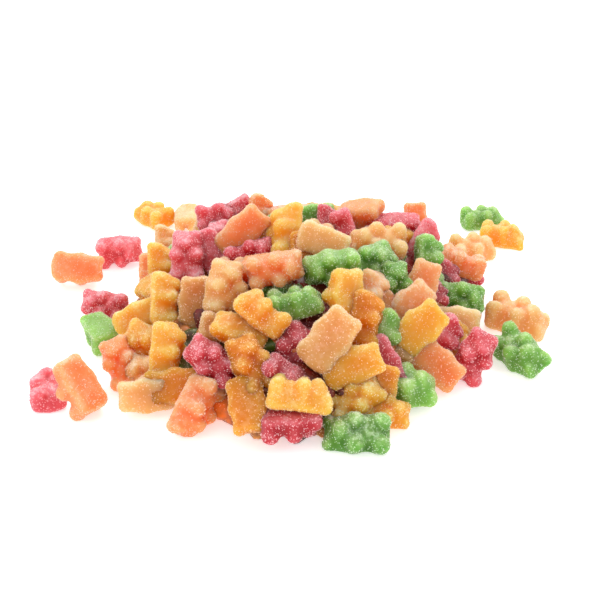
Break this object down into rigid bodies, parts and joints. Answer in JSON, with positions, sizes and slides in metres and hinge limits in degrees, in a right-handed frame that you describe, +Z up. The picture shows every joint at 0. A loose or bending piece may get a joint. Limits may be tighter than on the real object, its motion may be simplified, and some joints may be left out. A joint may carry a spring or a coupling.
{
  "type": "gummy bears",
  "caption": "Heap of sugar-coated gummy bears in mixed fruit colours, with loose bears lying round it on a bare table.",
  "frame": {"origin": "on the table top, under the heap, about 15 mm behind and 2 mm left of the middle of the heap's oval footprint", "axes": "+Z up from the table, -Y towards the front of the heap, +X to the right as seen from the front"},
  "size_m": [0.208, 0.188, 0.0493],
  "materials": {
    "jelly_mixed": "translucent jelly with a frosted sugar coat, in red, orange, yellow, amber, peach and green",
    "jelly_red": "translucent red jelly with a frosted sugar coat",
    "jelly_orange": "translucent orange jelly with a frosted sugar coat",
    "jelly_yellow": "translucent yellow jelly with a frosted sugar coat",
    "jelly_amber": "translucent amber jelly with a frosted sugar coat",
    "jelly_peach": "translucent peach jelly with a frosted sugar coat",
    "jelly_green": "translucent green jelly with a frosted sugar coat",
    "sugar": "clear to white sugar grains stuck to the jelly"
  },
  "bodies": {
    "root": {"bear_heap": "jelly_mixed", "stray_green_back_right": "jelly_green", "stray_yellow_back_right": "jelly_yellow", "stray_peach_back_right": "jelly_peach", "stray_peach_right": "jelly_peach", "stray_green_right": "jelly_green", "stray_yellow_back_left": "jelly_yellow", "stray_peach_back_left": "jelly_peach", "stray_red_left": "jelly_red", "stray_orange_left": "jelly_orange", "stray_red_by_heap": "jelly_red", "stray_green_by_heap": "jelly_green", "stray_red_front_left": "jelly_red", "stray_orange_front_left": "jelly_orange"}
  },
  "joints": []
}
